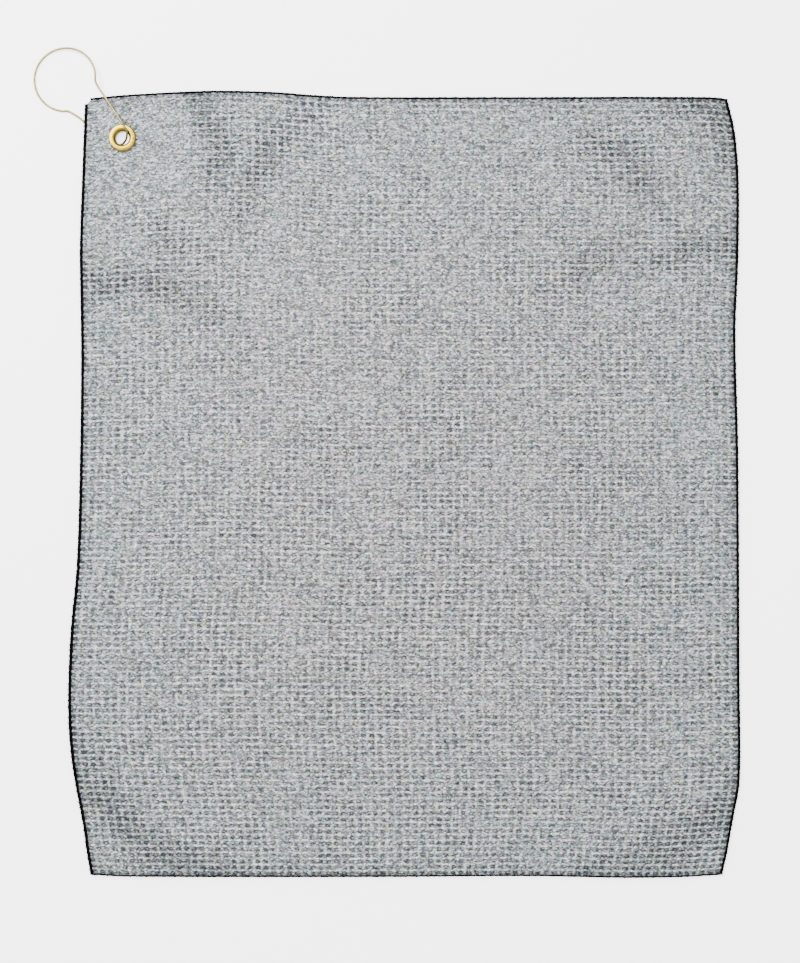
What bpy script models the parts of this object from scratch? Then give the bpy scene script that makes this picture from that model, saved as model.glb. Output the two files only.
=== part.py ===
"""Golf towel: a waffle cloth with stitched edges, and a wire ring hook held in a brass corner grommet.

The towel lies face up on Z = 0 with its length along +Y. The origin is the centre of its underside.
The grommet is in the top left corner. The hook is a closed bulb of spring wire: one leg runs over
the cloth and down through the grommet, the other runs back under the cloth, so the corner of the
towel is caught in it. The hook turns about the grommet's own axis.
"""
import math

import bmesh
import bpy
from mathutils import Vector

MM = 0.001
CLEARANCE = 0.3 * MM              # between neighbouring pieces, and round the wire

# Towel
TOWEL_WIDTH = 381.0 * MM
TOWEL_LENGTH = 457.2 * MM
CLOTH_THICKNESS = 2.2 * MM
PINCHED_THICKNESS = 1.2 * MM      # where the grommet squeezes the cloth
CORNER_CUT = 2.0 * MM             # along each side of the grommet's corner

# How far each side stands out from the plain rectangle: (fraction along the side, distance in mm).
# The left and right sides run from the bottom to the top, the others from left to right.
LEFT_BOW = [(0, -5.0), (0.06, -1.0), (0.10, 2.6), (0.16, 6.7), (0.22, 8.0), (0.31, 6.6),
            (0.40, 2.9), (0.53, 1.1), (0.66, 0.3), (0.80, 0.9), (0.90, -0.6), (1, -2.3)]
RIGHT_BOW = [(0, -4.4), (0.07, 1.8), (0.12, 5.6), (0.25, 5.5), (0.55, 4.7), (0.70, 3.1),
             (0.80, 4.8), (0.90, 4.9), (0.96, 2.6), (1, -1.6)]
TOP_BOW = [(0, -1.0), (0.06, 1.1), (0.16, 3.2), (0.21, 3.8), (0.30, 2.9), (0.40, 0.6),
           (0.60, 0.3), (0.97, 0.3), (1, -0.6)]
BOTTOM_BOW = [(0, -0.9), (0.06, 0.2), (0.45, 0.4), (0.70, -0.1), (0.85, 0.9), (0.95, 0.3), (1, -1.0)]

# Edge stitching
STITCH_DIAMETER = 1.2 * MM

# Grommet
GROMMET_INSET_X = 24.9 * MM       # from the plain rectangle's left side
GROMMET_INSET_Y = 24.8 * MM       # from its top side
BORE_DIAMETER = 7.9 * MM
FLANGE_DIAMETER = 16.0 * MM
FLANGE_HEIGHT = 1.1 * MM
SHOULDER_WIDTH = 1.7 * MM         # from the bore to the crown of the flange
BRASS_WALL = 0.4 * MM
LIP_RADIUS = 0.45 * MM            # of the rolled end, at the middle of its wall
WASHER_DIAMETER = 15.8 * MM
WASHER_THICKNESS = 0.4 * MM
TURN_STEPS = 40

# Wire hook
WIRE_DIAMETER = 1.3 * MM
BOW_RADIUS = 18.4 * MM
BOW_DISTANCE = 49.0 * MM          # from the grommet's axis to the bow's centre
BOW_BEARING = math.radians(134.2)
BOW_HALF_ANGLE = math.radians(139.5)
LEG_SPREAD_AT_NECK = 11.0 * MM    # from the hook's centre line to a leg
LEG_SPREAD_AT_TURN = 5.0 * MM
LAP_START = 8.0 * MM              # the wire's two ends lie side by side between these distances
LAP_END = 16.0 * MM
WIRE_SPACING = 1.9 * MM           # between the points of the wire's route

# Cloth surface
FINE_PITCH = 3.0 * MM
FINE_REACH = 12.5 * MM
COARSE_PITCH = 16.0 * MM
PITCH_GROWTH = 1.28

# Heights, from the table up. The hook's lower leg lies on the table.
WIRE_RADIUS = WIRE_DIAMETER / 2
STITCH_RADIUS = STITCH_DIAMETER / 2
BORE_RADIUS = BORE_DIAMETER / 2
BARREL_RADIUS = BORE_RADIUS + BRASS_WALL
LIP_BOTTOM = WIRE_DIAMETER + CLEARANCE
LIP_TOP = LIP_BOTTOM + LIP_RADIUS + BRASS_WALL
WASHER_BOTTOM = LIP_TOP + CLEARANCE
WASHER_TOP = WASHER_BOTTOM + WASHER_THICKNESS
PINCH_BOTTOM = WASHER_TOP + CLEARANCE
PINCH_TOP = PINCH_BOTTOM + PINCHED_THICKNESS
FLANGE_SEAT = PINCH_TOP + CLEARANCE
FLANGE_TOP = FLANGE_SEAT + FLANGE_HEIGHT
CORNER_LIFT = WIRE_DIAMETER + CLEARANCE
OVER_CORNER = CORNER_LIFT + CLOTH_THICKNESS + 2 * CLEARANCE + WIRE_RADIUS
OVER_FLANGE = FLANGE_TOP + CLEARANCE + WIRE_RADIUS

# Plan distances from the grommet's axis
PINCH_REACH = max(FLANGE_DIAMETER, WASHER_DIAMETER) / 2 + FINE_PITCH * math.sqrt(2)
PINCH_FADE = 2 * PINCH_REACH
NECK_DISTANCE = BOW_DISTANCE + BOW_RADIUS * math.cos(BOW_HALF_ANGLE)
LIFT_REACH = NECK_DISTANCE + 2 * WIRE_DIAMETER
LIFT_FADE = 3 * LIFT_REACH

RIM_MARGIN = STITCH_DIAMETER + CLEARANCE       # from the towel's outline to the cloth's own rim
GROMMET_X = -TOWEL_WIDTH / 2 + GROMMET_INSET_X
GROMMET_Y = TOWEL_LENGTH / 2 - GROMMET_INSET_Y


def clear_scene():
    for thing in list(bpy.data.objects):
        bpy.data.objects.remove(thing, do_unlink=True)


def make_collection(name):
    collection = bpy.data.collections.new(name)
    bpy.context.scene.collection.children.link(collection)
    return collection


def make_material(name, color, roughness, metallic):
    material = bpy.data.materials.new(name)
    material.use_nodes = True
    shader = material.node_tree.nodes["Principled BSDF"]
    shader.inputs["Base Color"].default_value = (*color, 1.0)
    shader.inputs["Roughness"].default_value = roughness
    shader.inputs["Metallic"].default_value = metallic
    return material


def smooth_step(value):
    value = min(max(value, 0.0), 1.0)
    return value * value * (3 - 2 * value)


def bow_at(points, fraction):
    """The side's standing out, in metres, on a smooth curve through its points."""
    last = len(points) - 1
    start = max(i for i in range(last) if points[i][0] <= fraction or i == 0)
    before = points[max(start - 1, 0)]
    left = points[start]
    right = points[start + 1]
    after = points[min(start + 2, last)]
    span = right[0] - left[0]
    slope_left = (right[1] - before[1]) / (right[0] - before[0]) * span
    slope_right = (after[1] - left[1]) / (after[0] - left[0]) * span
    t = (fraction - left[0]) / span
    value = ((2 * t**3 - 3 * t**2 + 1) * left[1] + (t**3 - 2 * t**2 + t) * slope_left
             + (3 * t**2 - 2 * t**3) * right[1] + (t**3 - t**2) * slope_right)
    return value * MM


def graded_stations(length, inset):
    """Fractions along a side from the cut corner, the cut's end among them: closest by the grommet."""
    marks = [0.0, inset]
    for direction, limit in ((-1, CORNER_CUT), (1, length)):
        place = inset
        pitch = FINE_PITCH
        while abs(limit - place) > 1.4 * pitch:
            place += direction * pitch
            marks.append(place)
            if abs(place - inset) > FINE_REACH:
                pitch = min(pitch * PITCH_GROWTH, COARSE_PITCH)
        marks.append(limit)
    return [mark / length for mark in sorted(marks)]


COLUMNS = graded_stations(TOWEL_WIDTH, GROMMET_INSET_X)
ROWS = [1 - v for v in reversed(graded_stations(TOWEL_LENGTH, GROMMET_INSET_Y))]


def rim_point(u, v):
    """A point of the cloth in plan, from its fractions across and up."""
    half_width = TOWEL_WIDTH / 2 - RIM_MARGIN
    half_length = TOWEL_LENGTH / 2 - RIM_MARGIN
    left = -half_width - bow_at(LEFT_BOW, v)
    right = half_width + bow_at(RIGHT_BOW, v)
    bottom = -half_length - bow_at(BOTTOM_BOW, u)
    top = half_length + bow_at(TOP_BOW, u)
    return left + (right - left) * u, bottom + (top - bottom) * v


def from_grommet(x, y):
    return math.hypot(x - GROMMET_X, y - GROMMET_Y)


def lift_at(x, y):
    """How far the hook's lower leg holds the corner up off the table."""
    return CORNER_LIFT * (1 - smooth_step((from_grommet(x, y) - LIFT_REACH) / (LIFT_FADE - LIFT_REACH)))


def pinch_at(x, y):
    return 1 - smooth_step((from_grommet(x, y) - PINCH_REACH) / (PINCH_FADE - PINCH_REACH))


def underside_at(x, y):
    return lift_at(x, y) + pinch_at(x, y) * (PINCH_BOTTOM - CORNER_LIFT)


def topside_at(x, y):
    plain_top = lift_at(x, y) + CLOTH_THICKNESS
    return plain_top + pinch_at(x, y) * (PINCH_TOP - CORNER_LIFT - CLOTH_THICKNESS)


def add_mesh_object(name, bm, material, collection):
    mesh = bpy.data.meshes.new(name)
    bm.to_mesh(mesh)
    bm.free()
    mesh.materials.append(material)
    thing = bpy.data.objects.new(name, mesh)
    collection.objects.link(thing)
    return thing


def make_cloth(parts, cutters, material):
    """The cloth: a sheet shaped to the outline, thickened downwards, with the grommet's hole cut."""
    bm = bmesh.new()
    bmesh.ops.create_grid(bm, x_segments=len(COLUMNS) - 1, y_segments=len(ROWS) - 1, size=0.5)
    for vert in bm.verts:
        column = round((vert.co.x + 0.5) * (len(COLUMNS) - 1))
        row = round((vert.co.y + 0.5) * (len(ROWS) - 1))
        vert.co.x, vert.co.y = rim_point(COLUMNS[column], ROWS[row])
        if column == 0 and row == len(ROWS) - 1:
            vert.co.x += CORNER_CUT / 2
            vert.co.y -= CORNER_CUT / 2
    under = list(bm.verts)
    raised = bmesh.ops.extrude_face_region(bm, geom=bm.faces[:])
    upper = [item for item in raised["geom"] if isinstance(item, bmesh.types.BMVert)]
    for vert in upper:
        vert.co.z = topside_at(vert.co.x, vert.co.y)
    for vert in under:
        vert.co.z = underside_at(vert.co.x, vert.co.y)
    bmesh.ops.recalc_face_normals(bm, faces=bm.faces[:])
    cloth = add_mesh_object("towel_cloth", bm, material, parts)

    hole_radius = BARREL_RADIUS + CLEARANCE
    hole = bmesh.new()
    bmesh.ops.create_cone(hole, cap_ends=True, segments=TURN_STEPS, radius1=hole_radius,
                          radius2=hole_radius, depth=4 * PINCH_TOP)
    cutter = add_mesh_object("grommet_hole_cutter", hole, material, cutters)
    cutter.location = (GROMMET_X, GROMMET_Y, PINCH_BOTTOM)
    cutter.hide_render = True
    cutter.display_type = "WIRE"
    cut = cloth.modifiers.new("grommet hole", "BOOLEAN")
    cut.operation = "DIFFERENCE"
    cut.object = cutter
    return cloth


def make_wire(name, points, diameter, material, collection, location=(0, 0, 0)):
    """A tube of the given diameter along the points, closed at both ends."""
    curve = bpy.data.curves.new(name, "CURVE")
    curve.dimensions = "3D"
    curve.bevel_depth = diameter / 2
    curve.bevel_resolution = 2
    curve.use_fill_caps = True
    spline = curve.splines.new("POLY")
    spline.points.add(len(points) - 1)
    for spot, point in zip(spline.points, points):
        spot.co = (*point, 1.0)
    curve.materials.append(material)
    thing = bpy.data.objects.new(name, curve)
    thing.location = location
    collection.objects.link(thing)
    return thing


def stitch_point(u, v, beside=(0, 0)):
    """The middle of the stitching beside the rim, level with the middle of the cloth there."""
    x, y = rim_point(u, v)
    height = (underside_at(x, y) + topside_at(x, y)) / 2
    reach = CLEARANCE + STITCH_RADIUS
    return x + beside[0] * reach, y + beside[1] * reach, height


def make_edges(parts, material):
    """Four runs of stitching. The side runs pass the ends of the other two, and none crosses the cut."""
    past_corner = RIM_MARGIN
    left = [stitch_point(0, v, (-1, 0)) for v in ROWS[:-1]]
    right = [stitch_point(1, v, (1, 0)) for v in ROWS]
    bottom = [stitch_point(u, 0, (0, -1)) for u in COLUMNS]
    top = [stitch_point(u, 1, (0, 1)) for u in COLUMNS[1:]]
    left.insert(0, (left[0][0], left[0][1] - past_corner, left[0][2]))
    right.insert(0, (right[0][0], right[0][1] - past_corner, right[0][2]))
    right.append((right[-1][0], right[-1][1] + past_corner, right[-1][2]))
    runs = {"edge_left": left, "edge_right": right, "edge_bottom": bottom, "edge_top": top}
    for name, points in runs.items():
        make_wire(name, points, STITCH_DIAMETER, material, parts)


def arc_points(centre, radius_r, radius_z, start, end, steps):
    """Points of an elliptic arc in (distance from the axis, height), angles in degrees."""
    angles = [math.radians(start + (end - start) * i / steps) for i in range(steps + 1)]
    return [(centre[0] + radius_r * math.cos(a), centre[1] + radius_z * math.sin(a)) for a in angles]


def offset_path(path, distance):
    """The path moved sideways by a distance, to its left as it runs."""
    moved = []
    for i, point in enumerate(path):
        before = path[max(i - 1, 0)]
        after = path[min(i + 1, len(path) - 1)]
        along = Vector((after[0] - before[0], after[1] - before[1])).normalized()
        moved.append((point[0] - along.y * distance, point[1] + along.x * distance))
    return moved


def make_turned(name, profile, material, parts):
    """A ring turned about the grommet's axis from a closed profile of (radius, height) points."""
    bm = bmesh.new()
    verts = [bm.verts.new((radius, 0.0, height)) for radius, height in profile]
    for i, vert in enumerate(verts):
        bm.edges.new((vert, verts[(i + 1) % len(verts)]))
    thing = add_mesh_object(name, bm, material, parts)
    thing.location = (GROMMET_X, GROMMET_Y, 0)
    screw = thing.modifiers.new("turn", "SCREW")
    screw.steps = TURN_STEPS
    screw.render_steps = TURN_STEPS
    screw.use_merge_vertices = True
    screw.merge_threshold = 0.00001
    screw.use_smooth_shade = True
    return thing


def make_grommet(parts, material):
    """Flange, barrel and rolled lip in one pressed piece, and the washer that the lip holds."""
    wall = BORE_RADIUS + BRASS_WALL / 2
    crown = wall + SHOULDER_WIDTH
    rim = FLANGE_DIAMETER / 2 - BRASS_WALL / 2
    seat = FLANGE_SEAT + BRASS_WALL / 2
    rise = FLANGE_HEIGHT - BRASS_WALL
    lip_middle = LIP_BOTTOM + LIP_RADIUS + BRASS_WALL / 2
    shoulder_drop = seat + rise - PINCH_TOP
    middle = arc_points((crown, seat), rim - crown, rise, 0, 90, 5)
    middle += arc_points((crown, PINCH_TOP), SHOULDER_WIDTH, shoulder_drop, 90, 180, 6)[1:]
    middle += arc_points((wall + LIP_RADIUS, lip_middle), LIP_RADIUS, LIP_RADIUS, 180, 360, 6)
    face = offset_path(middle, -BRASS_WALL / 2)
    back = offset_path(middle, BRASS_WALL / 2)
    make_turned("grommet", back + face[::-1], material, parts)

    inside = BARREL_RADIUS + CLEARANCE
    outside = WASHER_DIAMETER / 2
    chamfer = WASHER_THICKNESS / 4
    washer = [(inside, WASHER_TOP), (outside - chamfer, WASHER_TOP), (outside, WASHER_TOP - chamfer),
              (outside, WASHER_BOTTOM + chamfer), (outside - chamfer, WASHER_BOTTOM), (inside, WASHER_BOTTOM)]
    make_turned("grommet_washer", washer, material, parts)


def smooth_path(points, spacing):
    """Points about a spacing apart on a smooth curve through the given ones."""
    path = []
    for i in range(len(points) - 1):
        start, end = points[i], points[i + 1]
        before = points[max(i - 1, 0)]
        after = points[min(i + 2, len(points) - 1)]
        steps = max(1, round((end - start).length / spacing))
        enter = (end - before) * 0.5
        leave = (after - start) * 0.5
        if i == 0:
            enter = end - start
        if i == len(points) - 2:
            leave = end - start
        for k in range(steps):
            t = k / steps
            path.append(start * (2 * t**3 - 3 * t**2 + 1) + enter * (t**3 - 2 * t**2 + t)
                        + end * (3 * t**2 - 2 * t**3) + leave * (t**3 - t**2))
    return path + [points[-1]]


def make_hook(parts, material):
    """The wire, from its end beside the grommet under the cloth, round the bow and back through the hole.

    Distances run out from the grommet's axis along the hook, and sideways from its centre line,
    with the upper leg on the positive side.
    """
    low = WIRE_RADIUS
    neck = NECK_DISTANCE - WIRE_DIAMETER
    spread = LEG_SPREAD_AT_NECK - LEG_SPREAD_AT_TURN

    def leg_at(distance):
        return LEG_SPREAD_AT_TURN + spread * distance / neck

    lap_pitch = WIRE_DIAMETER + CLEARANCE
    lower_leg = [Vector((d, -leg_at(d) - lap_pitch, low)) for d in (LAP_START, LAP_END)]
    lower_leg += [Vector((d, -leg_at(d), low)) for d in (0.75 * neck, 0.91 * neck)]
    bow = []
    bow_steps = 28
    for i in range(bow_steps + 1):
        angle = BOW_HALF_ANGLE * (2 * i / bow_steps - 1)
        rise = smooth_step(angle / BOW_HALF_ANGLE) * (OVER_CORNER - low)
        along = BOW_DISTANCE + BOW_RADIUS * math.cos(angle)
        bow.append(Vector((along, BOW_RADIUS * math.sin(angle), low + rise)))
    over_rim = FLANGE_DIAMETER / 2
    upper_leg = [Vector((0.91 * neck, leg_at(0.91 * neck), OVER_CORNER))]
    for distance in (0.75 * neck, 0.5 * neck, over_rim):
        height = OVER_CORNER + (OVER_FLANGE - OVER_CORNER) * (neck - distance) / (neck - over_rim)
        upper_leg.append(Vector((distance, leg_at(distance), height)))

    # Over the shoulder, down the bore and out under the lip: (along, sideways, height)
    reach = BORE_RADIUS - WIRE_RADIUS - CLEARANCE
    shoulder = reach + SHOULDER_WIDTH
    bore_top = FLANGE_TOP - SHOULDER_WIDTH
    bore_middle = (bore_top + LIP_BOTTOM) / 2
    turn = [Vector((0.78 * shoulder, 1.13 * shoulder, OVER_FLANGE)),
            Vector((0.36 * shoulder, 1.08 * shoulder, OVER_FLANGE)),
            Vector((0.02 * shoulder, 0.93 * shoulder, OVER_FLANGE - 0.2 * MM)),
            Vector((-0.30 * reach, 0.94 * reach, bore_top + 0.35 * (OVER_FLANGE - bore_top))),
            Vector((-0.54 * reach, 0.50 * reach, bore_top - 0.1 * MM)),
            Vector((-0.60 * reach, -0.05 * reach, bore_middle)),
            Vector((-0.53 * reach, -0.63 * reach, LIP_BOTTOM)),
            Vector((-0.33 * reach, -1.02 * reach, LIP_BOTTOM - 0.55 * WIRE_RADIUS - CLEARANCE)),
            Vector((0.0, -1.40 * reach, low)),
            Vector((0.75 * reach, -leg_at(0.75 * reach), low))]
    inner_end = [Vector((d, -leg_at(d), low)) for d in (LAP_START, LAP_END)]
    route = smooth_path(lower_leg + bow + upper_leg + turn + inner_end, WIRE_SPACING)
    outwards = Vector((math.cos(BOW_BEARING), math.sin(BOW_BEARING), 0))
    sideways = Vector((math.sin(BOW_BEARING), -math.cos(BOW_BEARING), 0))
    points = [outwards * p.x + sideways * p.y + Vector((0, 0, p.z)) for p in route]
    make_wire("wire_hook", points, WIRE_DIAMETER, material, parts, (GROMMET_X, GROMMET_Y, 0))


def build():
    clear_scene()
    parts = make_collection("golf_towel")
    cutters = make_collection("cutters")
    cloth = make_material("heather grey cloth", (0.42, 0.43, 0.45), 0.95, 0.0)
    thread = make_material("dark edge thread", (0.012, 0.013, 0.022), 0.8, 0.0)
    brass = make_material("brass", (0.72, 0.52, 0.20), 0.28, 1.0)
    wire = make_material("brass wire", (0.78, 0.62, 0.32), 0.25, 1.0)
    make_cloth(parts, cutters, cloth)
    make_edges(parts, thread)
    make_grommet(parts, brass)
    make_hook(parts, wire)


build()
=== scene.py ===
import math

import bmesh
import bpy
import numpy as np
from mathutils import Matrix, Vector, noise


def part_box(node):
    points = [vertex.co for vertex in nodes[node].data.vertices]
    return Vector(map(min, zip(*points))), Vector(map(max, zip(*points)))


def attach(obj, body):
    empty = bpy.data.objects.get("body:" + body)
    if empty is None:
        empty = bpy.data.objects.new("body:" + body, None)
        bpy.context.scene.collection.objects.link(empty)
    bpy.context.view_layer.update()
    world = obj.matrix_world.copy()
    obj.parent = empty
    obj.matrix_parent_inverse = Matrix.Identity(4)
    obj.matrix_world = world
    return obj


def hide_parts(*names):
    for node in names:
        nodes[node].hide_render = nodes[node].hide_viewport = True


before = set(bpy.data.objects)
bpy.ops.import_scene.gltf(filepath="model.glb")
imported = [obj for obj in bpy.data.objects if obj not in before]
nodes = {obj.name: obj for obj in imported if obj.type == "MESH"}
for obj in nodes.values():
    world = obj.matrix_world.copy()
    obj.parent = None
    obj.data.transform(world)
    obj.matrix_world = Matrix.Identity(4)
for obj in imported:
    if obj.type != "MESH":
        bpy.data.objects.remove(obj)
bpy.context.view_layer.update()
mm = 0.001

# the grommet's axis, in plan
grommetLow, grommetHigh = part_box("grommet")
eyeX = (grommetLow.x + grommetHigh.x) / 2
eyeY = (grommetLow.y + grommetHigh.y) / 2


class Wire:
    # one socket of a node tree, so that sums written on it add Math nodes
    def __init__(self, look, socket):
        self.look = look
        self.socket = socket

    def __add__(self, other):
        return self.look.maths("ADD", self, other)

    def __radd__(self, other):
        return self.look.maths("ADD", other, self)

    def __sub__(self, other):
        return self.look.maths("SUBTRACT", self, other)

    def __rsub__(self, other):
        return self.look.maths("SUBTRACT", other, self)

    def __mul__(self, other):
        return self.look.maths("MULTIPLY", self, other)

    def __rmul__(self, other):
        return self.look.maths("MULTIPLY", other, self)

    def __pow__(self, other):
        return self.look.maths("POWER", self, other)

    def other(self, output):
        # another output of the same node
        return Wire(self.look, self.socket.node.outputs[output])


class Look:
    # a material: plain values go straight on the shader, patterns are linked to it
    def __init__(self, name, **plain):
        self.material = bpy.data.materials.new(name)
        self.material.use_nodes = True
        self.tree = self.material.node_tree
        self.shader = self.tree.nodes["Principled BSDF"]
        for socketName, value in plain.items():
            socket = self.shader.inputs[socketName.replace("_", " ")]
            socket.default_value = (*value, 1) if isinstance(value, tuple) else value

    def node(self, kind, settings=None, inputs=None, output=0):
        made = self.tree.nodes.new("ShaderNode" + kind)
        for key, value in (settings or {}).items():
            if key == "stops":
                ramp = made.color_ramp
                while len(ramp.elements) < len(value):
                    ramp.elements.new(1)
                for element, (place, colour) in zip(ramp.elements, value):
                    element.position = place
                    element.color = (*colour, 1)
            else:
                setattr(made, key, value)
        for key, value in (inputs or {}).items():
            self.put(made.inputs[key], value)
        return Wire(self, made.outputs[output])

    def put(self, socket, value):
        if isinstance(value, Wire):
            self.tree.links.new(value.socket, socket)
        elif isinstance(value, tuple) and len(socket.default_value) == 4:
            socket.default_value = (*value, 1)
        else:
            socket.default_value = value

    def maths(self, operation, first, second=0.0):
        return self.node("Math", {"operation": operation}, {0: first, 1: second})

    def blend(self, share, first, second):
        return self.node("Mix", {"data_type": "RGBA"}, {0: share, 6: first, 7: second}, 2)

    def feed(self, socketName, value):
        self.put(self.shader.inputs[socketName], value)


def smoothStep(value):
    value = np.clip(value, 0, 1)
    return value * value * (3 - 2 * value)


def curveThrough(points):
    # a smooth curve y(x) through (x, y) points
    xs, ys = np.array(sorted(points)).T
    slopes = np.gradient(ys, xs)

    def at(x):
        x = np.clip(x, xs[0], xs[-1])
        i = np.clip(np.searchsorted(xs, x) - 1, 0, len(xs) - 2)
        span = xs[i + 1] - xs[i]
        t = (x - xs[i]) / span
        return ((2 * t**3 - 3 * t**2 + 1) * ys[i] + (t**3 - 2 * t**2 + t) * span * slopes[i]
                + (3 * t**2 - 2 * t**3) * ys[i + 1] + (t**3 - t**2) * span * slopes[i + 1])
    return at


def makePiece(name, bm, look, body, slot, *standsFor):
    mesh = bpy.data.meshes.new(name)
    bm.to_mesh(mesh)
    bm.free()
    piece = bpy.data.objects.new(name, mesh)
    bpy.context.scene.collection.objects.link(piece)
    for polygon in mesh.polygons:
        polygon.use_smooth = True
    mesh.materials.append(look.material)
    if body:
        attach(piece, body)
        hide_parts(*standsFor)
    return piece


towel = {
    "flat": (0.381, 0.4572),
    "columns": 81,              # waffle cells across
    "rows": 130,                # and up
    "thickness": 2.2 * mm,
    "pinchedFrom": 3.45 * mm,   # heights under the grommet's flange
    "pinchedTo": 4.65 * mm,
    "cornerLift": 1.6 * mm,     # the hook's leg lies under the corner
    "pitDepth": 0.30 * mm,
    "plainAt": [(-0.23, -0.10, 0.05, 0.23), (1.0, 0.85, 0.62, 0.55)],   # heights up the cloth, the waffle's strength
    "sideTuck": 0.50 * mm,      # how far the rim goes into the stitching
    "endTuck": 0.80 * mm,
    "hole": 5.2 * mm,
}

# The outline comes from the upright faces of the CAD cloth.
rimFaces = [face for face in nodes["towel_cloth"].data.polygons
            if abs(face.normal.z) < 0.3 and math.hypot(face.center.x - eyeX, face.center.y - eyeY) > 12 * mm]


def rimPoints(facing):
    vertices = nodes["towel_cloth"].data.vertices
    return {(round(vertices[i].co.x, 6), round(vertices[i].co.y, 6))
            for face in rimFaces if face.normal.dot(Vector(facing)) > 0.9 for i in face.vertices}


leftPoints, rightPoints = rimPoints((-1, 0, 0)), rimPoints((1, 0, 0))
bottomPoints, topPoints = rimPoints((0, -1, 0)), rimPoints((0, 1, 0))
leftX = curveThrough((y, x) for x, y in leftPoints)
rightX = curveThrough((y, x) for x, y in rightPoints)
bottomY = curveThrough(bottomPoints)
topY = curveThrough(topPoints)
cutLow = Vector((*max(leftPoints, key=lambda p: p[1]), 0))     # the two ends of the cut corner
cutHigh = Vector((*min(topPoints), 0))

# Creases in the cloth: points along each (x and y in mm from the middle, strength), width in mm
creases = [
    ([(-190, 117, 0.5), (-172, 119, 1.0), (-150, 119, 1.0), (-134, 113, 0.8), (-118, 104, 0.5), (-100, 93, 0.1)], 9),
    ([(-120, 226, 0.8), (-116, 214, 0.9), (-108, 200, 0.9), (-111, 186, 0.8), (-114, 172, 0.3)], 9),
    ([(-59, 219, 0.5), (-77, 202, 0.8), (-87, 183, 0.9), (-94, 166, 0.7), (-98, 154, 0.1)], 9),
    ([(100, 203, 0.3), (112, 201, 0.7), (128, 194, 0.9), (136, 182, 0.9), (146, 170, 0.5), (149, 156, 0.1)], 9),
    ([(130, 148, 0.2), (116, 138, 0.6), (104, 128, 0.5), (88, 110, 0.1)], 9),
    ([(192, 140, 0.7), (172, 140, 0.8), (156, 137, 0.7), (140, 131, 0.5), (122, 122, 0.1)], 7),
    ([(-158, 160, 0.2), (-144, 148, 0.5), (-130, 136, 0.4), (-118, 122, 0.1)], 9),
    ([(-193, -150, 0.5), (-185, -170, 0.8), (-173, -188, 1.0), (-157, -203, 1.0), (-138, -216, 0.9), (-104, -224, 0.5)], 10),
    ([(194, -172, 0.5), (184, -190, 0.8), (166, -205, 0.9), (150, -216, 0.8), (110, -223, 0.3)], 10),
    ([(150, 227, 0.2), (172, 222, 0.8), (186, 209, 0.9), (192, 188, 0.3)], 12),
]
# Swellings of the cloth between them: middle, reach along and across, turn in degrees, height
swells = [
    ((-150, 140), (34, 13), 5, 1.5),
    ((-128, 192), (9, 26), 0, 1.2),
    ((-90, 212), (12, 26), -30, 1.5),
    ((-60, 180), (14, 30), -35, 0.9),
    ((150, 205), (26, 11), -38, 1.6),
    ((118, 172), (22, 18), 0, 0.9),
    ((152, 120), (34, 10), 30, 1.1),
    ((84, 142), (14, 30), -40, 0.9),
    ((-182, -212), (9, 9), 0, 1.8),
    ((-160, -180), (26, 18), 35, 0.9),
    ((182, -212), (9, 10), 0, 1.3),
    ((150, -188), (30, 16), -35, 0.8),
    ((-180, 60), (14, 40), 0, 0.6),
    ((30, -40), (90, 60), 20, 0.5),
    ((-70, 60), (60, 70), 0, 0.5),
]


def finePath(points):
    # more points on a smooth curve through a crease's own, in metres
    marks = np.arange(len(points))
    fine = np.linspace(0, len(points) - 1, 6 * len(points))
    xs, ys, strengths = (curveThrough(zip(marks, column))(fine) for column in np.array(points, float).T)
    return list(zip(xs * mm, ys * mm, strengths))


creasePaths = [(finePath(points), width * mm) for points, width in creases]


def creasesAt(x, y, spread):
    # 0 on plain cloth to 1 along the bottom of a crease
    most = np.zeros(x.shape)
    for path, width in creasePaths:
        for (x0, y0, w0), (x1, y1, w1) in zip(path, path[1:]):
            t = np.clip(((x - x0) * (x1 - x0) + (y - y0) * (y1 - y0)) / ((x1 - x0)**2 + (y1 - y0)**2), 0, 1)
            away = np.hypot(x - x0 - t * (x1 - x0), y - y0 - t * (y1 - y0))
            most = np.maximum(most, (w0 + t * (w1 - w0)) * np.exp(-(away / (width * spread))**2))
    return most * farFromEye(x, y)


def rimDistance(x, y):
    sides = np.minimum(np.minimum(x - leftX(y), rightX(y) - x), np.minimum(y - bottomY(x), topY(x) - y))
    return np.maximum(sides, 0)


def farFromEye(x, y):
    return smoothStep((np.hypot(x - eyeX, y - eyeY) - 26 * mm) / (22 * mm))


def waveAt(x, y):
    # how far the cloth swells off the table, less its creases
    height = -0.9 * mm * creasesAt(x, y, 0.7)
    for (middleX, middleY), (reachX, reachY), turn, rise in swells:
        c, s = math.cos(math.radians(turn)), math.sin(math.radians(turn))
        dx, dy = x - middleX * mm, y - middleY * mm
        a, b = (dx * c + dy * s) / (reachX * mm), (dy * c - dx * s) / (reachY * mm)
        height += rise * mm * np.exp(-(a * a + b * b))
    return np.maximum(height, 0) * farFromEye(x, y)


def liftAt(x, y):
    away = np.hypot(x - eyeX, y - eyeY)
    return towel["cornerLift"] * (1 - smoothStep((away - 37 * mm) / (74 * mm))) + waveAt(x, y)


def pinchAt(x, y):
    return 1 - smoothStep((np.hypot(x - eyeX, y - eyeY) - 10.5 * mm) / (12 * mm))


def undersideAt(x, y):
    return liftAt(x, y) + pinchAt(x, y) * (towel["pinchedFrom"] - towel["cornerLift"])


def topsideAt(x, y):
    drop = towel["pinchedTo"] - towel["cornerLift"] - towel["thickness"]
    return liftAt(x, y) + towel["thickness"] + pinchAt(x, y) * drop


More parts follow.
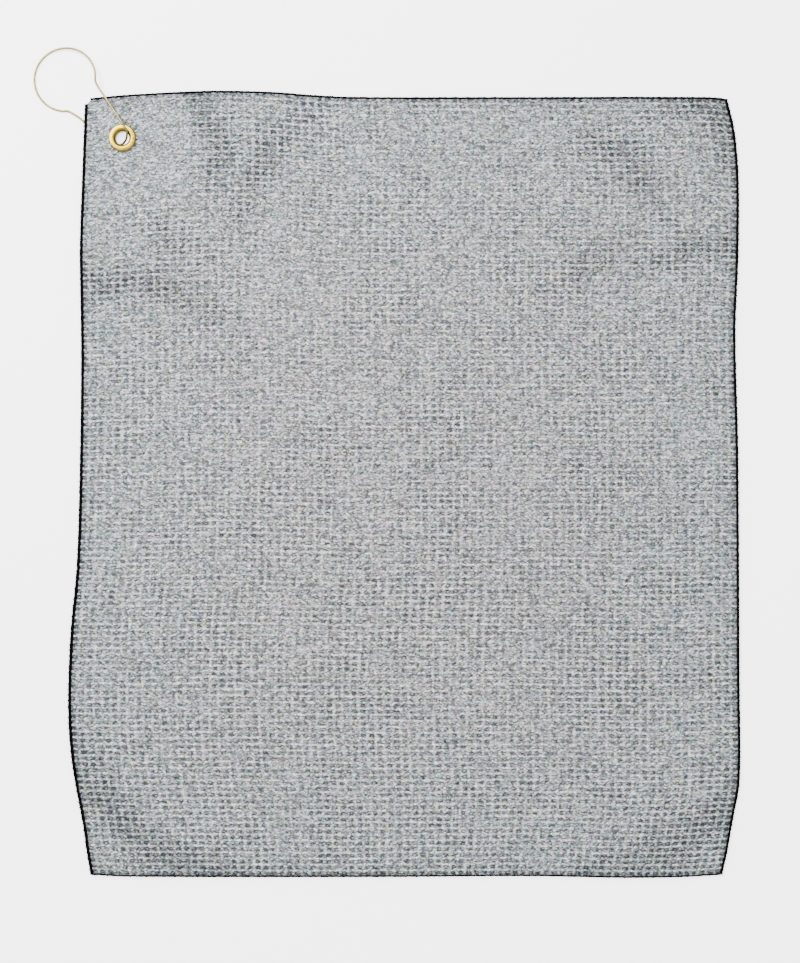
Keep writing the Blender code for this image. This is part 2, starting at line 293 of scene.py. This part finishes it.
weaveLook = {
    "light": (0.95, 0.965, 0.99),
    "dark": (0.020, 0.021, 0.024),
    "middle": 0.635,            # how bright the cloth is between the two
    "contrast": 2.9,
    "loops": (3.8, 4.2),        # loops of yarn to a waffle cell, across and up
    "loopShade": 0.39,          # how strongly they differ
    "fuzzShade": 0.80,
    "floatShade": 0.36,
    "gapPaintedShade": 0.10,           # painted shade between the loops
    "pitPaintedShade": 0.160,          # painted shade in the waffle's pits, where it shows most
    "ridgePaintedLight": 0.100,        # painted highlight along its ridges
    # painted shade in the creases and along the rim
    "creasePaintedShade": 0.11,
    "rimPaintedShade": 0.05,
    "loopTint": 0.12,           # hues of the single yarns
    "patchTint": 0.26,          # and of patches of them
    "farTint": (-0.06, 0.014, 0.014),   # how much cooler the cloth is far from its middle
}


def makeWeave():
    look = Look("waffleWeave", Roughness=0.95, Specular_IOR_Level=0.15, Sheen_Weight=0.08, Sheen_Roughness=0.5)
    weave = look.node("Attribute", {"attribute_name": "weave"}, output=1)
    parts = look.node("SeparateXYZ", None, {0: weave})
    across, up, strength = parts, parts.other(1), parts.other(2)
    # crease and rim masks for the painted shade, and how far out the cloth is for its cooler tint
    shade = look.node("Attribute", {"attribute_name": "shade"}, output=1)
    shades = look.node("SeparateXYZ", None, {0: shade})
    crease, rim, far = shades, shades.other(1), shades.other(2)

    def place(stretchAcross, stretchUp, shift):
        return look.node("VectorMath", {"operation": "MULTIPLY_ADD"},
                         {0: weave, 1: (stretchAcross, stretchUp, 0.0), 2: (shift, shift * 0.7, shift * 1.3)})

    def cloud(stretchAcross, stretchUp, detail, shift):
        return look.node("TexNoise", None, {"Vector": place(stretchAcross, stretchUp, shift), "Scale": 1.0,
                                            "Detail": detail, "Roughness": 0.6})

    def step(value, low, high):
        return look.node("MapRange", {"interpolation_type": "SMOOTHSTEP"}, {0: value, 1: low, 2: high})

    # the waffle's painted light: painted shade in wide pits, darker round than in their middles, and a painted
    # highlight on thin ridges between them
    waveAcross = look.maths("COSINE", across * (2 * math.pi))
    waveUp = look.maths("COSINE", up * (2 * math.pi))
    pit = (1 - waveAcross) * (1 - waveUp) * 0.25
    hollow = step(pit, 0.06, 0.5) - 0.35 * step(pit, 0.7, 1.0)
    ridge = step(waveUp, 0.35, 1.0) + 0.3 * step(waveAcross, 0.5, 1.0)
    paintedWaffleShade = ridge * weaveLook["ridgePaintedLight"] - hollow * weaveLook["pitPaintedShade"]

    # loops of yarn, each of its own grey and hue
    sway = look.node("TexNoise", None, {"Vector": place(2.2, 2.2, 9.1), "Scale": 1.0, "Detail": 1.0}, 1)
    swayed = look.node("VectorMath", {"operation": "MULTIPLY_ADD"},
                       {0: sway, 1: (0.9, 0.7, 0.0), 2: place(*weaveLook["loops"], 2.7)})
    loops = look.node("TexVoronoi", {"voronoi_dimensions": "2D", "feature": "SMOOTH_F1"},
                      {"Vector": swayed, "Scale": 1.0, "Smoothness": 0.25, "Randomness": 1.0})
    loopColour = loops.other(1)
    loopGrey = look.node("SeparateColor", None, {0: loopColour})
    gap = step(loops, 0.30, 0.75)

    fuzz = cloud(4.8, 5.4, 3.0, 23.3)
    floats = cloud(1.7, 4.2, 2.0, 11.7)
    # yarn tones of the melange, less a painted shade in the gaps between loops
    melangeAndGapShade = (loopGrey - 0.5) * weaveLook["loopShade"] + (fuzz - 0.5) * weaveLook["fuzzShade"]
    melangeAndGapShade = melangeAndGapShade + (floats - 0.5) * weaveLook["floatShade"] - gap * weaveLook["gapPaintedShade"]
    # painted pit shade and ridge highlight, as strong as the weave's third value
    brightness = weaveLook["middle"] + melangeAndGapShade + strength * paintedWaffleShade
    # painted shade in the creases and along the rim
    brightness = brightness - crease * weaveLook["creasePaintedShade"] - rim * weaveLook["rimPaintedShade"]
    clear = look.node("Clamp", None, {0: brightness}) ** weaveLook["contrast"]
    grey = look.blend(clear, weaveLook["dark"], weaveLook["light"])

    def tinted(colour, hue, share):
        tint = look.node("VectorMath", {"operation": "MULTIPLY_ADD"},
                         {0: hue, 1: (share, share, share), 2: (1 - share / 2,) * 3})
        return look.node("VectorMath", {"operation": "MULTIPLY"}, {0: colour, 1: tint})

    patches = cloud(1.5, 1.3, 2.0, 41.9)
    grey = tinted(grey, loopColour, weaveLook["loopTint"])
    grey = tinted(grey, patches.other(1), 2.5 * weaveLook["patchTint"])
    cool = look.node("VectorMath", {"operation": "MULTIPLY_ADD"}, {0: far, 1: weaveLook["farTint"], 2: (1, 1, 1)})
    look.feed("Base Color", look.node("VectorMath", {"operation": "MULTIPLY"}, {0: grey, 1: cool}))

    height = (1 - gap) * 0.8 + loopGrey * 0.35 + fuzz * 0.7 + (1 - hollow) * 0.25
    look.feed("Normal", look.node("Bump", None, {"Strength": 0.6, "Distance": 0.35 * mm, "Height": height}))
    return look


def makeCloth(look):
    columns, rows = 2 * towel["columns"], 2 * towel["rows"]
    bm = bmesh.new()
    weave = bm.verts.layers.float_vector.new("weave")
    shade = bm.verts.layers.float_vector.new("shade")
    bmesh.ops.create_grid(bm, x_segments=columns, y_segments=rows, size=0.5)
    u = np.array([vert.co.x + 0.5 for vert in bm.verts])
    v = np.array([vert.co.y + 0.5 for vert in bm.verts])
    x = np.zeros(u.shape)
    y = (v - 0.5) * towel["flat"][1]
    for _ in range(4):
        left, right = leftX(y) - towel["sideTuck"], rightX(y) + towel["sideTuck"]
        x = left + (right - left) * u
        bottom, top = bottomY(x) - towel["endTuck"], topY(x) + towel["endTuck"]
        y = bottom + (top - bottom) * v
    # yarns never run quite straight
    for i, vert in enumerate(bm.verts):
        sway = noise.noise_vector(Vector((x[i] * 30, y[i] * 30, 4.0))) * 0.5 * mm
        jog = noise.noise_vector(Vector((x[i] * 420, y[i] * 420, 1.0))) * 0.22 * mm
        fade = min(1, min(u[i], 1 - u[i], v[i], 1 - v[i]) * 25)
        vert.co = Vector((x[i] + (sway.x + jog.x) * fade, y[i] + (sway.y + jog.y) * fade, 0))
        vert[weave] = Vector((u[i] * towel["columns"], v[i] * towel["rows"], 0))
    # cut corner
    outwards = Vector((cutLow.y - cutHigh.y, cutHigh.x - cutLow.x, 0)).normalized()
    bmesh.ops.bisect_plane(bm, geom=bm.verts[:] + bm.edges[:] + bm.faces[:], dist=1e-6,
                           plane_co=cutLow, plane_no=outwards, clear_outer=True)
    # hole for the grommet, hidden under its flange
    inside = [vert for vert in bm.verts if math.hypot(vert.co.x - eyeX, vert.co.y - eyeY) < towel["hole"] - 0.2 * mm]
    bmesh.ops.delete(bm, geom=inside, context="VERTS")
    for vert in bm.verts:
        fromEye = Vector((vert.co.x - eyeX, vert.co.y - eyeY, 0))
        if vert.is_boundary and fromEye.length < 12 * mm:
            vert.co = Vector((eyeX, eyeY, 0)) + fromEye.normalized() * towel["hole"]
    under = bm.verts[:]
    raised = bmesh.ops.extrude_face_region(bm, geom=bm.faces[:])
    above = [item for item in raised["geom"] if isinstance(item, bmesh.types.BMVert)]

    def pitsAt(verts):
        cells = np.array([vert[weave] for vert in verts])
        ribs = (0.5 + 0.5 * np.cos(2 * np.pi * cells[:, 0]), 0.5 + 0.5 * np.cos(2 * np.pi * cells[:, 1]))
        return (1 - ribs[0]) * (1 - ribs[1]) + 0.16 * np.abs(ribs[0] - ribs[1])

    def lumps(x, y, perMetre, seed):
        return np.array([noise.noise(Vector((a * perMetre, b * perMetre, seed))) for a, b in zip(x, y)])

    x = np.array([vert.co.x for vert in above])
    y = np.array([vert.co.y for vert in above])
    rim = rimDistance(x, y)
    squeeze = np.exp(-(rim / (2.2 * mm))**2)
    crease = creasesAt(x, y, 1.0)
    edge = np.exp(-(rim / (5 * mm))**1.5)
    # the waffle shows most low down, in the creases and along the rim: deeper pits, with more painted shade in them and
    # painted highlight on their ridges
    plain = np.interp(y, towel["plainAt"][0], towel["plainAt"][1]) - 0.4 * lumps(x, y, 22, 9.0) - 0.6 * lumps(x, y, 75, 2.0)
    strength = np.clip(plain * farFromEye(x, y) + 0.7 * crease + 0.35 * edge, 0.1, 1.3)
    uneven = lumps(x, y, 260, 7.0)
    far = np.clip(np.maximum(np.abs(x) / 0.19, np.abs(y) / 0.23) * 1.8 - 0.8, 0, 1)
    depth = towel["pitDepth"] * (0.6 + 0.9 * strength) * (1 + 0.8 * uneven)
    rise = topsideAt(x, y) - depth * pitsAt(above)
    rise += (0.16 * lumps(x, y, 170, 3.0) + 0.22 * lumps(x, y, 620, 5.0) - 0.75 * squeeze) * mm
    # the shade attribute keeps the crease and rim masks for painted shade and the distance out for the tint
    for vert, height, fold, near, away, strong in zip(above, rise, crease, edge, far, strength):
        vert.co.z = height
        vert[shade] = Vector((fold, near, away))
        vert[weave] = Vector((vert[weave].x, vert[weave].y, strong))

    x = np.array([vert.co.x for vert in under])
    y = np.array([vert.co.y for vert in under])
    squeeze = np.exp(-(rimDistance(x, y) / (2.2 * mm))**2)
    depth = 0.8 * 0.62 * mm * (1 - 0.5 * pinchAt(x, y))
    for vert, height in zip(under, undersideAt(x, y) + depth * pitsAt(under) + 0.45 * mm * squeeze):
        vert.co.z = height
    bmesh.ops.recalc_face_normals(bm, faces=bm.faces[:])
    print("cloth:", len(bm.faces), "faces")
    cloth = makePiece("waffleCloth", bm, look, "towel", "cloth", "towel_cloth")
    return cloth


stitch = {
    "thread": 0.21 * mm,        # radius
    "pitch": 0.66 * mm,
    "turn": 8,                  # points in a turn
    "halfHeight": 0.92 * mm,
    "halfWidth": {"left": 1.02 * mm, "right": 0.85 * mm, "top": 0.57 * mm, "bottom": 0.44 * mm},
    "reach": 1.5 * mm,          # from the cloth's own rim to the outside of the stitching
    "knotEvery": 3.3 * mm,
    "colour": (0.0005, 0.0005, 0.0010),
    "worn": (0.002, 0.002, 0.0035),
}


def makeThread():
    look = Look("overlockThread", Roughness=0.65, Specular_IOR_Level=0.03)
    place = look.node("TexCoord", output=3)
    fuzz = look.node("TexNoise", None, {"Vector": place, "Scale": 1900.0, "Detail": 3.0})
    look.feed("Base Color", look.blend(fuzz, stitch["colour"], stitch["worn"]))
    look.feed("Normal", look.node("Bump", None, {"Strength": 0.5, "Distance": 0.1 * mm, "Height": fuzz}))
    return look


def tubeAlong(name, points, radius, sides, look, body, slot, *standsFor):
    # a round tube along points, as a closed mesh
    curve = bpy.data.curves.new(name, "CURVE")
    curve.dimensions = "3D"
    curve.bevel_depth = radius
    curve.bevel_resolution = sides
    curve.use_fill_caps = True
    for run in points:
        spline = curve.splines.new("POLY")
        spline.points.add(len(run) - 1)
        spline.points.foreach_set("co", np.column_stack([run, np.ones(len(run))]).ravel())
        spline.points[0].radius = spline.points[-1].radius = 0.6
    holder = bpy.data.objects.new(name, curve)
    bpy.context.scene.collection.objects.link(holder)
    bpy.context.view_layer.update()
    mesh = bpy.data.meshes.new_from_object(holder.evaluated_get(bpy.context.evaluated_depsgraph_get()))
    bpy.data.objects.remove(holder)
    bm = bmesh.new()
    bm.from_mesh(mesh)
    bmesh.ops.remove_doubles(bm, verts=bm.verts, dist=1e-7)
    bmesh.ops.recalc_face_normals(bm, faces=bm.faces[:])
    bpy.data.meshes.remove(mesh)
    return makePiece(name, bm, look, body, slot, *standsFor)


def makeStitching(side, look):
    # thread wound round the cloth's rim, with a knot of the second thread now and then
    upright = side in ("left", "right")
    rimOf = {"left": leftX, "right": rightX, "top": topY, "bottom": bottomY}[side]
    points = {"left": leftPoints, "right": rightPoints, "top": topPoints, "bottom": bottomPoints}[side]
    out = 1 if side in ("right", "top") else -1
    ends = [min(p[upright] for p in points), max(p[upright] for p in points)]
    if upright:
        ends = [ends[0] - 1.2 * mm, ends[1] + (1.2 * mm if side == "right" else 0)]
    halfWidth = stitch["halfWidth"][side]
    centre = stitch["reach"] - halfWidth - stitch["thread"]
    turns = int((ends[1] - ends[0]) / stitch["pitch"])
    steps = np.linspace(0, turns, turns * stitch["turn"] + 1)
    along = ends[0] + (ends[1] - ends[0]) * steps / turns
    rim = rimOf(along)
    spot = (rim, along) if upright else (along, rim)
    wander = np.array([noise.noise(Vector((a * 260, out * 3.0, len(side)))) for a in along])
    knots = np.maximum(0, np.cos(2 * np.pi * (along + 0.9 * mm * wander) / stitch["knotEvery"]))**6
    level = np.maximum((undersideAt(*spot) + topsideAt(*spot)) / 2, stitch["halfHeight"] + stitch["thread"])
    angle = 2 * np.pi * steps
    aside = rim + out * (centre + (0.12 * wander + 0.14 * knots) * mm)
    swing = halfWidth * (1 + 0.16 * wander + 0.36 * knots) * np.cos(angle)
    height = stitch["halfHeight"] * (1 + 0.08 * wander) * np.sin(angle)

    def run(offset, z):
        return np.column_stack([offset, along, z] if upright else [along, offset, z])

    wraps = [run(aside + swing, level + height)]
    core = min(0.84 * halfWidth, 0.80 * stitch["halfHeight"])
    shift = 0.95 * stitch["halfHeight"] - core
    spread = max(0, 0.95 * halfWidth - core)
    corners = [(a, z) for a in (-spread, spread) for z in (-shift, shift)]
    fillers = [run(aside + a, level + z)[::stitch["turn"]] for a, z in corners]
    tubeAlong("stitching_" + side, wraps, stitch["thread"], 1, look, "towel", "edge_thread", "edge_" + side)
    tubeAlong("stitchCore_" + side, fillers, core, 1, look, "towel", "edge_thread")


brass = {
    "grommet": {"base": (0.155, 0.100, 0.008), "bright": (0.29, 0.205, 0.026), "rough": 0.19},
    "wire": {"base": (0.075, 0.060, 0.018), "bright": (0.30, 0.25, 0.10), "rough": 0.2},
    "boreShadeLevel": 0.35,         # how bright the bore is painted: a painted shade inside it
}


def makeBrass(name, finish, shadedBore):
    look = Look(name, Metallic=1.0)
    place = look.node("TexCoord", output=3)
    cloud = look.node("TexNoise", None, {"Vector": place, "Scale": 420.0, "Detail": 3.0})
    fine = look.node("TexNoise", None, {"Vector": place, "Scale": 2600.0, "Detail": 2.0})
    fromEye = look.node("VectorMath", {"operation": "SUBTRACT"}, {0: place, 1: (eyeX, eyeY, 0.0)})
    flat = look.node("VectorMath", {"operation": "MULTIPLY"}, {0: fromEye, 1: (1.0, 1.0, 0.0)})
    away = look.node("VectorMath", {"operation": "LENGTH"}, {0: flat}, 1)
    # painted shade: the base colour darkens inside the bore
    boreShade = look.node("MapRange", {"interpolation_type": "SMOOTHSTEP"},
                      {0: away, 1: 4.0 * mm, 2: 4.9 * mm, 3: brass["boreShadeLevel"], 4: 1.0})
    metal = look.blend(cloud, finish["base"], finish["bright"])
    look.feed("Base Color", look.node("VectorMath", {"operation": "SCALE"}, {0: metal, 3: boreShade}) if shadedBore else metal)
    look.feed("Roughness", finish["rough"] + (cloud - 0.5) * 0.22 + (fine - 0.5) * 0.1)
    look.feed("Normal", look.node("Bump", None, {"Strength": 0.2, "Distance": 0.05 * mm, "Height": cloud + fine * 0.4}))
    return look


def spunRing(name, profile, look, slot, standsFor):
    # a closed profile of (radius, height) in mm, spun about the grommet's axis
    bm = bmesh.new()
    ring = [bm.verts.new((radius * mm, 0, height * mm)) for radius, height in profile]
    loop = [bm.edges.new((a, b)) for a, b in zip(ring, ring[1:] + ring[:1])]
    bmesh.ops.spin(bm, geom=ring + loop, cent=(0, 0, 0), axis=(0, 0, 1), angle=2 * math.pi, steps=96, use_merge=True)
    bmesh.ops.remove_doubles(bm, verts=bm.verts, dist=1e-7)
    bmesh.ops.recalc_face_normals(bm, faces=bm.faces[:])
    bmesh.ops.translate(bm, verts=bm.verts, vec=(eyeX, eyeY, 0))
    return makePiece(name, bm, look, "towel", slot, standsFor)


def arc(middleR, middleZ, radiusR, radiusZ, start, end, steps):
    angles = [math.radians(start + (end - start) * i / steps) for i in range(steps + 1)]
    return [(middleR + radiusR * math.cos(a), middleZ + radiusZ * math.sin(a)) for a in angles]


def makeGrommet(look):
    # flange with a rolled outer edge, shoulder, barrel, and the lip rolled out over the washer
    outside = arc(7.35, 5.30, 0.63, 0.35, -90, 0, 4)[1:] + arc(7.25, 5.35, 0.73, 0.66, 5, 90, 7)
    outside += arc(5.75, 4.55, 1.8, 1.5, 90, 178, 12)
    outside += [(3.95, 4.0), (3.95, 3.2), (3.95, 2.6)]
    lip = arc(4.62, 2.27, 0.67, 0.67, 180, 350, 10)
    inside = arc(4.62, 2.27, 0.27, 0.27, 350, 180, 6)
    back = [(4.35, 2.8), (4.35, 3.4), (4.35, 4.3)] + arc(5.75, 4.55, 1.4, 1.05, 172, 95, 7)
    back += [(6.6, 5.5), (7.1, 5.35), (7.2, 5.0)]
    return spunRing("brassGrommet", outside + lip + inside + back, look, "grommet_brass", "grommet")


def makeWasher(look):
    low, high, edge = 2.75, 3.15, 0.1
    profile = [(4.65, high), (5.2, high), (6.3, high + 0.04), (7.8, high - 0.02), (7.9, high - edge),
               (7.9, low + edge), (7.8, low + 0.02), (6.3, low + 0.08), (5.2, low), (4.65, low)]
    return spunRing("brassWasher", profile, look, "grommet_brass", "grommet_washer")


hook = {
    "wire": 0.65 * mm,          # radius
    "bearing": 134.2,           # degrees, from the grommet out to the bow
    "bowDistance": 49.0 * mm,
    "bowRadius": 18.4 * mm,
    "bowHalf": 139.5,           # degrees, half of the bow's arc
    "legsAtNeck": 11.0 * mm,    # of each leg from the centre line
    "legsAtTurn": 5.0 * mm,
    "lap": (8.0 * mm, 16.0 * mm),
    "overCorner": 5.05 * mm,    # heights of the wire's middle
    "overFlange": 7.0 * mm,
    "boreTop": 4.35 * mm,
    "lip": 1.6 * mm,
    "reach": 3.0 * mm,          # of the wire from the axis inside the bore
    "shoulder": 4.7 * mm,
    "clearance": 0.3 * mm,
    "spacing": 0.5 * mm,
}


def smoothRun(points, spacing):
    # points about a spacing apart on a smooth curve through the given ones
    points = [Vector(point) for point in points]
    path = []
    for i in range(len(points) - 1):
        start, end = points[i], points[i + 1]
        steps = max(1, round((end - start).length / spacing))
        enter = (end - points[i - 1]) / 2 if i else end - start
        leave = (points[i + 2] - start) / 2 if i < len(points) - 2 else end - start
        for k in range(steps):
            t = k / steps
            path.append(start * (2 * t**3 - 3 * t**2 + 1) + enter * (t**3 - 2 * t**2 + t)
                        + end * (3 * t**2 - 2 * t**3) + leave * (t**3 - t**2))
    return path + [points[-1]]


def makeHook(look):
    # one wire: from its end beside the grommet, under the cloth, round the bow, over the cloth and
    # down through the hole; distances run out along the hook and sideways from its centre line
    low = hook["wire"]
    half = math.radians(hook["bowHalf"])
    neck = hook["bowDistance"] + hook["bowRadius"] * math.cos(half) - 2 * hook["wire"]
    over, top, reach, shoulder = hook["overCorner"], hook["overFlange"], hook["reach"], hook["shoulder"]

    def legAt(distance):
        return hook["legsAtTurn"] + (hook["legsAtNeck"] - hook["legsAtTurn"]) * distance / neck

    lapPitch = 2 * hook["wire"] + hook["clearance"]
    route = [(d, -legAt(d) - lapPitch, low) for d in hook["lap"]]
    route += [(d, -legAt(d), low) for d in (0.75 * neck, 0.91 * neck)]
    for i in range(29):
        angle = half * (i / 14 - 1)
        rise = float(smoothStep(angle / half)) * (over - low)
        route.append((hook["bowDistance"] + hook["bowRadius"] * math.cos(angle),
                      hook["bowRadius"] * math.sin(angle), low + rise))
    route.append((0.91 * neck, legAt(0.91 * neck), over))
    overRim = 8.0 * mm
    for d in (0.75 * neck, 0.5 * neck, overRim):
        route.append((d, legAt(d), over + (top - over) * (neck - d) / (neck - overRim)))
    boreTop, lip = hook["boreTop"], hook["lip"]
    route += [(0.78 * shoulder, 1.13 * shoulder, top), (0.36 * shoulder, 1.08 * shoulder, top),
              (0.02 * shoulder, 0.93 * shoulder, top - 0.2 * mm),
              (-0.30 * reach, 0.94 * reach, boreTop + 0.35 * (top - boreTop)),
              (-0.54 * reach, 0.50 * reach, boreTop - 0.1 * mm),
              (-0.60 * reach, -0.05 * reach, (boreTop + lip) / 2),
              (-0.53 * reach, -0.63 * reach, lip),
              (-0.33 * reach, -1.02 * reach, lip - 0.55 * hook["wire"] - hook["clearance"]),
              (0.0, -1.40 * reach, low), (0.75 * reach, -legAt(0.75 * reach), low)]
    route += [(d, -legAt(d), low) for d in hook["lap"]]
    cosine, sine = math.cos(math.radians(hook["bearing"])), math.sin(math.radians(hook["bearing"]))
    wire = [(eyeX + p.x * cosine + p.y * sine, eyeY + p.x * sine - p.y * cosine, p.z)
            for p in smoothRun(route, hook["spacing"])]
    tubeAlong("springHook", [wire], hook["wire"], 3, look, "hook", "wire_brass", "wire_hook")


studio = {
    "floor": (0.95, 0.95, 0.95),
    "glow": 2.6,                # the floor is a lit table
    "sky": [(0.0, 4.3), (0.10, 3.6), (0.28, 2.3), (0.46, 0.5), (0.74, 0.5), (0.88, 2.9)],   # light by height
    "key": {"at": (-0.50, 0.58, 0.80), "size": 0.5, "power": 19},
    "fill": {"at": (1.1, -0.7, 1.2), "size": 1.4, "power": 4},
    "eye": (-3.5 * mm, 3.2 * mm, 786 * mm),
    "lens": 50,
}


def makeStudio():
    bm = bmesh.new()
    bmesh.ops.create_grid(bm, x_segments=4, y_segments=4, size=45)
    bmesh.ops.translate(bm, verts=bm.verts, vec=(0, 0, -0.03 * mm))
    paint = Look("paleFloor", Base_Color=studio["floor"], Roughness=0.9, Specular_IOR_Level=0.1,
                 Emission_Color=(1.0, 1.0, 1.0), Emission_Strength=studio["glow"])
    floor = makePiece("floor", bm, paint, None, None)

    # a soft room: pale walls, a darker band above them, a wide light overhead
    world = bpy.data.worlds.new("softRoom")
    world.use_nodes = True
    tree = world.node_tree
    direction = tree.nodes.new("ShaderNodeTexCoord")
    parts = tree.nodes.new("ShaderNodeSeparateXYZ")
    ramp = tree.nodes.new("ShaderNodeValToRGB")
    brightest = max(light for place, light in studio["sky"])
    while len(ramp.color_ramp.elements) < len(studio["sky"]):
        ramp.color_ramp.elements.new(1)
    for element, (place, light) in zip(ramp.color_ramp.elements, studio["sky"]):
        element.position = place
        element.color = (light / brightest, light / brightest, light / brightest, 1)
    tree.links.new(direction.outputs[0], parts.inputs[0])
    tree.links.new(parts.outputs[2], ramp.inputs[0])
    tree.links.new(ramp.outputs[0], tree.nodes["Background"].inputs["Color"])
    tree.nodes["Background"].inputs["Strength"].default_value = brightest
    bpy.context.scene.world = world

    for name in ("key", "fill"):
        light = bpy.data.lights.new(name, "AREA")
        light.shape = "DISK"
        light.size = studio[name]["size"]
        light.energy = studio[name]["power"]
        lamp = bpy.data.objects.new(name, light)
        lamp.location = studio[name]["at"]
        lamp.rotation_euler = (-Vector(studio[name]["at"])).to_track_quat("-Z", "Y").to_euler()
        bpy.context.scene.collection.objects.link(lamp)

    camera = bpy.data.cameras.new("camera")
    camera.lens = studio["lens"]
    camera.sensor_width = 36
    camera.clip_start = 0.01
    holder = bpy.data.objects.new("camera", camera)
    holder.location = studio["eye"]
    bpy.context.scene.collection.objects.link(holder)
    bpy.context.scene.camera = holder


makeStudio()
print("studio ready")
thread = makeThread()
makeCloth(makeWeave())
print("cloth ready")
for side in ("left", "right", "top", "bottom"):
    makeStitching(side, thread)
print("stitching ready")
grommetBrass = makeBrass("grommetBrass", brass["grommet"], True)
makeGrommet(grommetBrass)
makeWasher(grommetBrass)
makeHook(makeBrass("wireBrass", brass["wire"], False))
print("brass ready")
